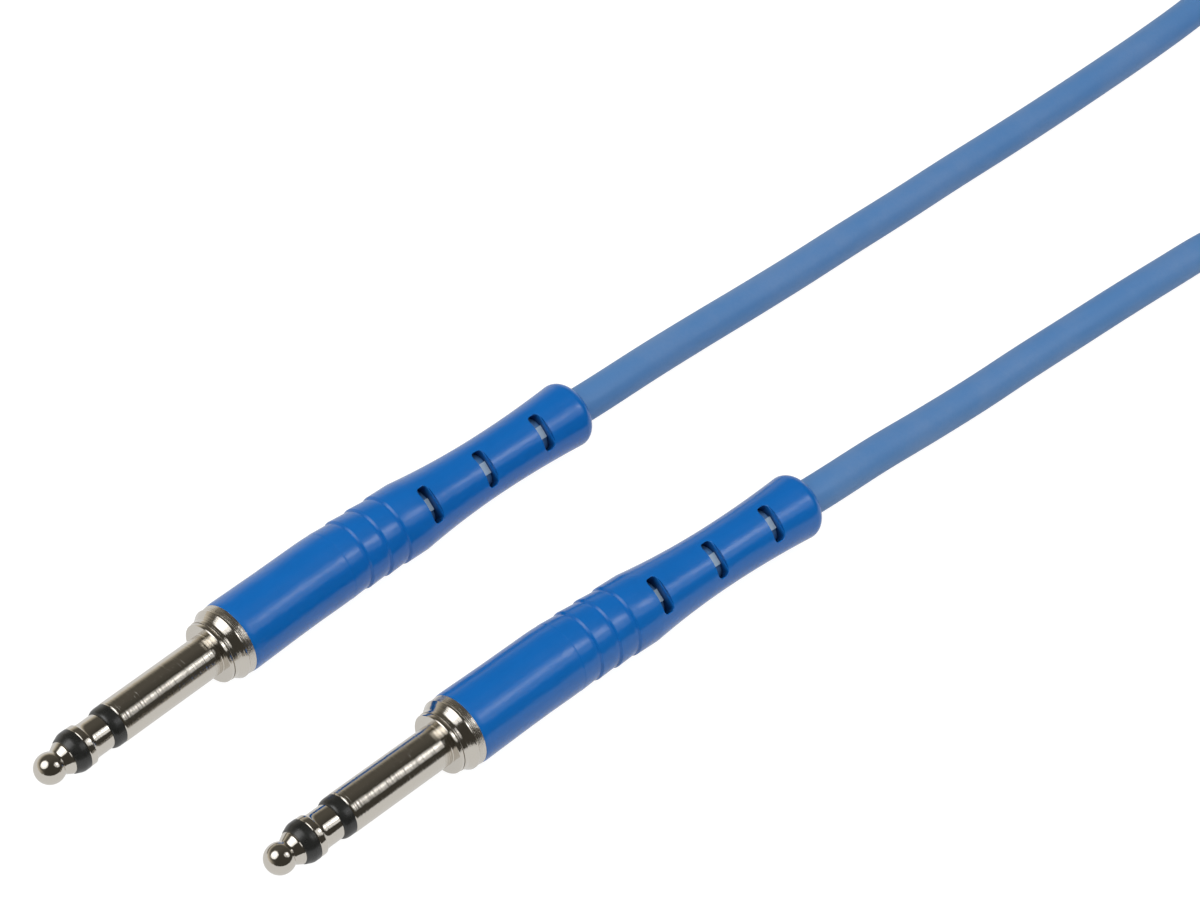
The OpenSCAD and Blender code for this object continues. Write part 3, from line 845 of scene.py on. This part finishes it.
def handle_outline(handle):
    """The handle's outer outline from its front edge to its rounded tail, then its bore."""
    mark = handle.ridge - handle.ridge_pitch
    outline = [
        (handle.front, handle.front_r - 0.06 * MM, 0.03 * MM),
        (handle.front + 0.4 * MM, handle.front_r, 0.2 * MM),
        (handle.hollow, handle.hollow_r, 1.5 * MM),
        (mark - 0.9 * MM, handle.ridge_r, 0.8 * MM),
        (mark, handle.ridge_r - 0.04 * MM, 0),
        (mark + 0.12 * MM, handle.ridge_r - 0.015 * MM, 0.04 * MM),
    ]
    for i in range(handle.ridges):
        at = handle.ridge + i * handle.ridge_pitch
        outline += [
            (at - 0.55 * MM, handle.ridge_low_r + 0.06 * MM, 0.03 * MM),
            (at - 0.22 * MM, handle.ridge_low_r, 0),
            (at, handle.ridge_r, 0.04 * MM),
        ]
    flare = handle.tail - handle.tail_round
    waist_steps, round_steps = 48, 12
    for i in range(waist_steps + 1):
        x = handle.waist_front + (flare - handle.waist_front) * i / waist_steps
        outline.append((x, waist_radius(handle, x), 0))
    for i in range(1, round_steps + 1):
        turned = math.radians(90) * i / round_steps
        across = handle.tail_round * (1 - math.cos(turned))
        outline.append((flare + handle.tail_round * math.sin(turned), handle.tail_r - across, 0))
    outline.append((handle.tail, handle.bore_r, 0.03 * MM))
    # Extra stations, so that the bore bends with the handle
    outline += [(handle.tail - back * MM, handle.bore_r, 0) for back in (8, 16, 24)]
    outline += [(handle.ridge + back * MM, handle.bore_r, 0) for back in (4, 2, 0)]
    wide_r = handle.bore_r + handle.bore_widening
    return outline + [
        (handle.ridge - 2 * MM, wide_r, 0),
        (handle.stem_bore, wide_r, 0),
        (handle.stem_bore, handle.stem_bore_r, 0),
        (handle.front, handle.stem_bore_r, 0),
    ]


def loft(bm, rings):
    """Joins rings of points, from the lowest to the highest, into one closed block."""
    loops = []
    for ring in rings:
        corners = [bm.verts.new(point) for point in ring]
        loops.append([bm.edges.new(pair) for pair in zip(corners, corners[1:] + corners[:1])])
    for lower, upper in zip(loops, loops[1:]):
        bmesh.ops.bridge_loops(bm, edges=lower + upper)
    for end in (loops[0], loops[-1]):
        bmesh.ops.edgeloop_fill(bm, edges=end)


def slot_ring(handle, grow, inner):
    """Outline of a slot about its middle, or of the one pocket that starts inner from there."""
    half_w = handle.slot_w / 2 + grow
    half_l = handle.slot_l / 2 + grow
    corner = handle.slot_corner + grow
    ring = []
    for side in (1,) if inner else (1, -1):
        for turned in (math.radians(10 * i) for i in range(19)):
            x = corner * math.cos(turned) + math.copysign(half_w - corner, math.cos(turned))
            if turned == math.pi / 2:
                x = 0
            ring.append(Vector((side * x, side * (half_l - corner * (1 - math.sin(turned))), 0)))
    if inner:
        ring += [Vector((-half_w, inner, 0)), Vector((half_w, inner, 0))]
    return ring


def slot_middles(handle):
    return [handle.slot + i * handle.slot_pitch for i in range(handle.slots)]


def raised(ring, along, height):
    return [along + point + Vector((0, 0, height)) for point in ring]


def slot_rings(handle, middle):
    """Rings of the tool for one slot: from the top of its rib out through its rounded rim."""
    along = Vector((middle, 0, 0))
    rings = [raised(slot_ring(handle, 0, 0), along, handle.rib_top)]
    for level, turned in enumerate(math.radians(part) for part in (0, 25, 50, 75)):
        deep = handle.slot_round * (1 - math.sin(turned))
        lowest = handle.rib_top + CUT_PAST * (1 + level)
        ring = slot_ring(handle, handle.slot_round * (1 - math.cos(turned)), 0)
        for point in ring:
            skin = waist_radius(handle, middle + point.x)
            point.z = max(math.sqrt(skin**2 - point.y**2) - deep, lowest)
        rings.append([along + point for point in ring])
    rings.append(raised(slot_ring(handle, handle.slot_round, 0), along, CUT_TOP))
    return rings


def pocket_rings(handle, middle):
    """Rings of the tool for one pocket: from the slot's floor to just over its rib."""
    ring = slot_ring(handle, CUT_PAST, handle.rib_w / 2)
    heights = (handle.slot_floor, handle.rib_top + 0.1 * MM)
    return [raised(ring, Vector((middle, 0, 0)), height) for height in heights]


def slot_cutter(handle, roll, pockets):
    """The tool that cuts all slots of one handle, down to their ribs, or their pockets."""
    bm = bmesh.new()
    for middle in slot_middles(handle):
        rings = (pocket_rings if pockets else slot_rings)(handle, middle)
        along = Vector((middle, 0, 0))
        for face in (0, math.pi):
            face_turn = Matrix.Rotation(roll + face, 3, "X")
            for flip in (0, math.pi) if pockets else (0,):
                half_turn = Matrix.Translation(along) @ Matrix.Rotation(flip, 4, "Z")
                half_turn = half_turn @ Matrix.Translation(-along)
                loft(bm, [[face_turn @ (half_turn @ point) for point in ring] for ring in rings])
    bmesh.ops.recalc_face_normals(bm, faces=bm.faces)
    mesh = bpy.data.meshes.new("slots")
    bm.to_mesh(mesh)
    bm.free()
    cutter = bpy.data.objects.new("slots", mesh)
    bpy.context.scene.collection.objects.link(cutter)
    return cutter


def cut(bm, cutter):
    """Takes the cutter out of a skin and gives the skin back."""
    mesh = bpy.data.meshes.new("cut")
    bm.to_mesh(mesh)
    bm.free()
    blank = bpy.data.objects.new("cut", mesh)
    bpy.context.scene.collection.objects.link(blank)
    boolean = blank.modifiers.new("slots", "BOOLEAN")
    boolean.operation = "DIFFERENCE"
    boolean.solver = "EXACT"
    boolean.object = cutter
    bpy.context.view_layer.update()
    result = bmesh.new()
    result.from_object(blank, bpy.context.evaluated_depsgraph_get())
    if len(result.faces) < len(blank.data.polygons) / 2:
        raise RuntimeError("the cut took away most of the skin")
    for used in (blank, cutter):
        data = used.data
        bpy.data.objects.remove(used)
        bpy.data.meshes.remove(data)
    return result


def mark_slots(skin, handle, roll):
    """Marks the tops of the ribs for their painted highlight, and how deep each point lies in a
    slot, for the painted shade there.
    """
    strained = skin.faces.layers.float.new("strained")
    inside = skin.verts.layers.float.new("inside")
    upright = Matrix.Rotation(-roll, 3, "X")
    off_top, half_rib = CUT_PAST / 2, handle.rib_w / 2 + 2 * CUT_PAST
    for face in skin.faces:
        ends = [upright @ corner.co for corner in face.verts]
        on_rib = all(
            abs(abs(end.z) - handle.rib_top) < off_top and abs(end.y) < half_rib for end in ends
        )
        face[strained] = 1 if on_rib else 0
    middles = slot_middles(handle)
    for vertex in skin.verts:
        point = vertex.co
        # Depth in a slot, which the handle's material turns into painted shade
        depth = waist_radius(handle, point.x) - math.hypot(point.y, point.z)
        in_slot = any(abs(point.x - middle) < handle.slot_w for middle in middles)
        vertex[inside] = min(max(depth / handle.slot_shade, 0), 1) if in_slot else 0


class PATCHCABLE_OT_handles(Operator):
    """Builds the handles: ridged front, waisted rear with slots, slightly bent"""

    bl_idname = "patchcable.handles"
    bl_label = "Handles"

    def execute(self, context):
        handle = context.scene.cable_handle
        finish = finish_named("handle_plastic", soft_plastic, context.scene.cable_finishes)
        for name, roll in zip(PLUGS, (handle.roll_a, handle.roll_b)):
            skin = turn(handle_outline(handle), True)
            for pockets in (False, True):
                skin = cut(skin, slot_cutter(handle, roll, pockets))
            mark_slots(skin, handle, roll)
            for vertex in skin.verts:
                vertex.co = bent(vertex.co, handle)
            piece_of(skin, f"{name}_grip", plug_place(name), finish, f"{name}_handle")
        return {"FINISHED"}


class PATCHCABLE_OT_insides(Operator):
    """Builds the cord's ends inside the handles and finishes what is joined to them"""

    bl_idname = "patchcable.insides"
    bl_label = "Insides"

    def execute(self, context):
        handle, cord = context.scene.cable_handle, context.scene.cable_cord
        finishes = context.scene.cable_finishes
        steps, squeezed_steps = 32, 6
        outline = [(cord.end, 0, 0)]
        for i in range(steps + 1):
            station = cord.end + (handle.tail - cord.end) * i / steps
            outline.append((station, cord.radius - (cord.squeeze if i < squeezed_steps else 0), 0))
        outline.append((handle.tail, 0, 0))
        jacket = finish_named("cord_jacket", cord_jacket, finishes)
        lug = finish_named("lug_metal", lug_metal, finishes)
        finished = {
            "tip_lug": lug,
            "ring_lug": lug,
            "crimp_ring": lug,
            "braid": finish_named("braid_copper", braid_copper, finishes),
        }
        for node, name in (("tip_core", "core_red"), ("ring_core", "core_white")):
            tone = getattr(finishes, name)
            finished[node] = finish_named(name, core_insulation, name, tone)
        for name in PLUGS:
            skin = turn(outline, False)
            for vertex in skin.verts:
                vertex.co = bent(vertex.co, handle)
            piece_of(
                skin, f"{name}_cord_end", plug_place(name), jacket, f"{name}_cable_end"
            )
            for node, finish in finished.items():
                for slot in frame["nodes"][f"{name}_{node}"].material_slots:
                    slot.material = finish
        return {"FINISHED"}


# What stands round the plugs: name, azimuth, elevation, distance, width, height, and the setting
# that gives its brightness with a share of it
LAMPS = [
    ("softbox_left", 150, 50, 0.6, 0.57, 0.57, "softbox_light", 1.4),
    ("core_left", 147, 50, 0.6, 0.31, 0.31, "softbox_core", 1),
    ("softbox_right", -47, 46, 0.6, 0.33, 0.42, "softbox_light", 1),
    ("core_right", -40, 47, 0.6, 0.13, 0.13, "softbox_core", 2),
    ("fill", -80, 76, 0.9, 1.4, 1.4, "fill_light", 1),
]


def lamp(context, name, azimuth, elevation, distance, width, height, light):
    """A soft round light that looks at the plugs."""
    data = bpy.data.lights.new(name, "AREA")
    data.shape = "ELLIPSE"
    data.size, data.size_y = width, height
    data.energy = light * math.pi * math.pi * width * height / 4
    made = bpy.data.objects.new(name, data)
    context.scene.collection.objects.link(made)
    level = math.cos(math.radians(elevation))
    out = Vector(
        (
            math.cos(math.radians(azimuth)) * level,
            math.sin(math.radians(azimuth)) * level,
            math.sin(math.radians(elevation)),
        )
    )
    facing = out.to_track_quat("Z", "Y").to_matrix().to_4x4()
    made.matrix_world = Matrix.Translation(out * distance) @ facing
    return made


def floor_paper(stage):
    """Pale paper that takes the plugs' shadow and looks white to the camera and in the metal."""
    paint = material_paint("floor")
    seen, glossy, through = paint.ray("Camera"), paint.ray("Glossy"), paint.ray("Transmission")
    paper = paint.node("ShaderNodeBsdfDiffuse", {}, {"Color": (*stage.floor_colour, 1)})
    bright = 1.25 * seen + 0.82 * glossy + 0.82 * through
    glow = paint.node("ShaderNodeEmission", {}, {"Strength": bright})
    share = 0.75 * seen + 0.85 * glossy + 0.85 * through
    both = paint.node("ShaderNodeMixShader", {}, {0: share, 1: paper, 2: glow})
    paint.node("ShaderNodeOutputMaterial", {}, {"Surface": both})
    return paint.owner


def studio(stage):
    """A dim warm room, brighter low on one side, behind a backdrop that the camera sees white."""
    room = Paint(bpy.data.worlds.new("studio"))
    way = room.node("ShaderNodeTexCoord", output="Generated")
    up, across = (room.node("ShaderNodeSeparateXYZ", {}, {0: way}, part) for part in "ZY")
    low = 1.0 - room.band(up, 0.0, 0.47)
    side = room.band(across, -0.4, 0.6)
    grey = 0.055 + 0.05 * side + 0.6 * low * side
    walls, backdrop = (
        room.node("ShaderNodeBackground", {}, {"Color": (*tone, 1), "Strength": strength})
        for tone, strength in ((stage.wall_colour, grey), ((1, 1, 1), 1.0))
    )
    both = room.node("ShaderNodeMixShader", {}, {0: room.ray("Camera"), 1: walls, 2: backdrop})
    room.node("ShaderNodeOutputWorld", {}, {"Surface": both})
    return room.owner


class PATCHCABLE_OT_stage(Operator):
    """Lays the floor and sets the lights"""

    bl_idname = "patchcable.stage"
    bl_label = "Stage"

    def execute(self, context):
        stage = context.scene.cable_stage
        bm = bmesh.new()
        bmesh.ops.create_grid(bm, x_segments=1, y_segments=1, size=1.5)
        bmesh.ops.translate(bm, verts=bm.verts, vec=(0, 0, -0.02 * MM))
        mesh = bpy.data.meshes.new("floor")
        bm.to_mesh(mesh)
        bm.free()
        mesh.materials.append(floor_paper(stage))
        floor = bpy.data.objects.new("floor", mesh)
        context.scene.collection.objects.link(floor)
        for name, *shape, setting, share in LAMPS:
            made = lamp(context, name, *shape, share * getattr(stage, setting))
            # The fill lights the plugs but doesn't show in the metal
            made.visible_glossy = name != "fill"
        context.scene.world = studio(stage)
        context.scene.view_settings.view_transform = "Standard"
        return {"FINISHED"}


STEPS = (
    PATCHCABLE_OT_camera,
    PATCHCABLE_OT_cord,
    PATCHCABLE_OT_tips,
    PATCHCABLE_OT_insulators,
    PATCHCABLE_OT_rings,
    PATCHCABLE_OT_sleeves,
    PATCHCABLE_OT_handles,
    PATCHCABLE_OT_insides,
    PATCHCABLE_OT_stage,
)
GROUPS = {
    "cable_plug": PlugSizes,
    "cable_handle": HandleSizes,
    "cable_cord": CordSizes,
    "cable_finishes": Finishes,
    "cable_stage": StageSettings,
}


class PATCHCABLE_PT_panel(Panel):
    """Lists the pieces and their sizes"""

    bl_label = "Patch Cable"
    bl_idname = "PATCHCABLE_PT_panel"
    bl_space_type = "VIEW_3D"
    bl_region_type = "UI"
    bl_category = "Patch Cable"

    def draw(self, context):
        for step in STEPS:
            self.layout.operator(step.bl_idname)
        for name, group in GROUPS.items():
            box = self.layout.box()
            for size in group.__annotations__:
                box.prop(getattr(context.scene, name), size)


def register():
    for group in (*GROUPS.values(), *STEPS, PATCHCABLE_PT_panel):
        bpy.utils.register_class(group)
    for name, group in GROUPS.items():
        setattr(bpy.types.Scene, name, PointerProperty(type=group))


def unregister():
    for name in GROUPS:
        delattr(bpy.types.Scene, name)
    for group in (PATCHCABLE_PT_panel, *STEPS, *GROUPS.values()):
        bpy.utils.unregister_class(group)


def main():
    register()
    bpy.ops.patchcable.camera()
    bpy.ops.patchcable.cord()
    bpy.ops.patchcable.tips()
    bpy.ops.patchcable.insulators()
    bpy.ops.patchcable.rings()
    bpy.ops.patchcable.sleeves()
    bpy.ops.patchcable.handles()
    bpy.ops.patchcable.insides()
    bpy.ops.patchcable.stage()


if __name__ == "__main__":
    main()
